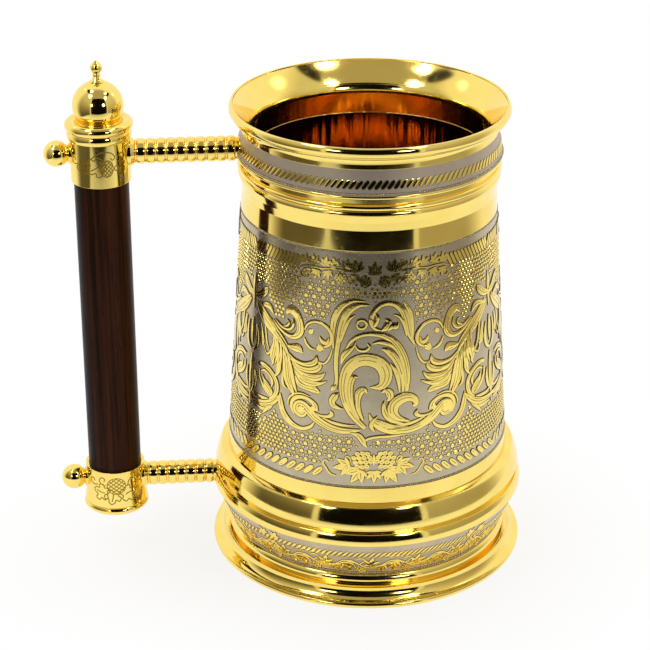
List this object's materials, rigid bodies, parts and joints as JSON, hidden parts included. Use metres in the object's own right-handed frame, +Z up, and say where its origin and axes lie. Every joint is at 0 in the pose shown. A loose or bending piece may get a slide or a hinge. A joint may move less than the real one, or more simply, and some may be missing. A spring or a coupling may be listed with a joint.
{
  "type": "beer mug",
  "caption": "Tall metal beer mug with a flared gilt rim, an engraved nickel sleeve, a moulded foot and a dark wooden bar handle held on beaded arms.",
  "frame": {"origin": "on the mug's axis, in the plane of the foot", "axes": "+Z up along the mug's axis, handle towards -X"},
  "size_m": [0.1812, 0.122, 0.1986],
  "materials": {
    "gilt": "mirror-polished gilt",
    "nickel": "satin nickel plate with gilt engraving",
    "rosewood": "dark wood, satin varnish",
    "steel": "plain turned steel"
  },
  "bodies": {
    "root": {"foot_ring": "gilt", "base_plate": "gilt", "base_screws": "steel", "base_band": "nickel", "lower_torus": "gilt", "upper_torus": "gilt", "lower_collar": "gilt", "sleeve": "nickel", "upper_collar": "gilt", "shoulder_ring": "gilt", "neck_band": "nickel", "rim": "gilt", "liner": "gilt", "upper_arm": "gilt", "lower_arm": "gilt", "upper_stud": "steel", "lower_stud": "steel", "upper_saddle_washer": "gilt", "lower_saddle_washer": "gilt", "upper_ball_nut": "gilt", "lower_ball_nut": "gilt", "upper_ferrule": "gilt", "lower_ferrule": "gilt", "grip": "rosewood", "tie_rod": "steel", "rod_washer": "steel", "rod_nut": "steel", "cap_collar": "gilt", "dome_knob": "gilt", "finial": "gilt"}
  },
  "joints": []
}
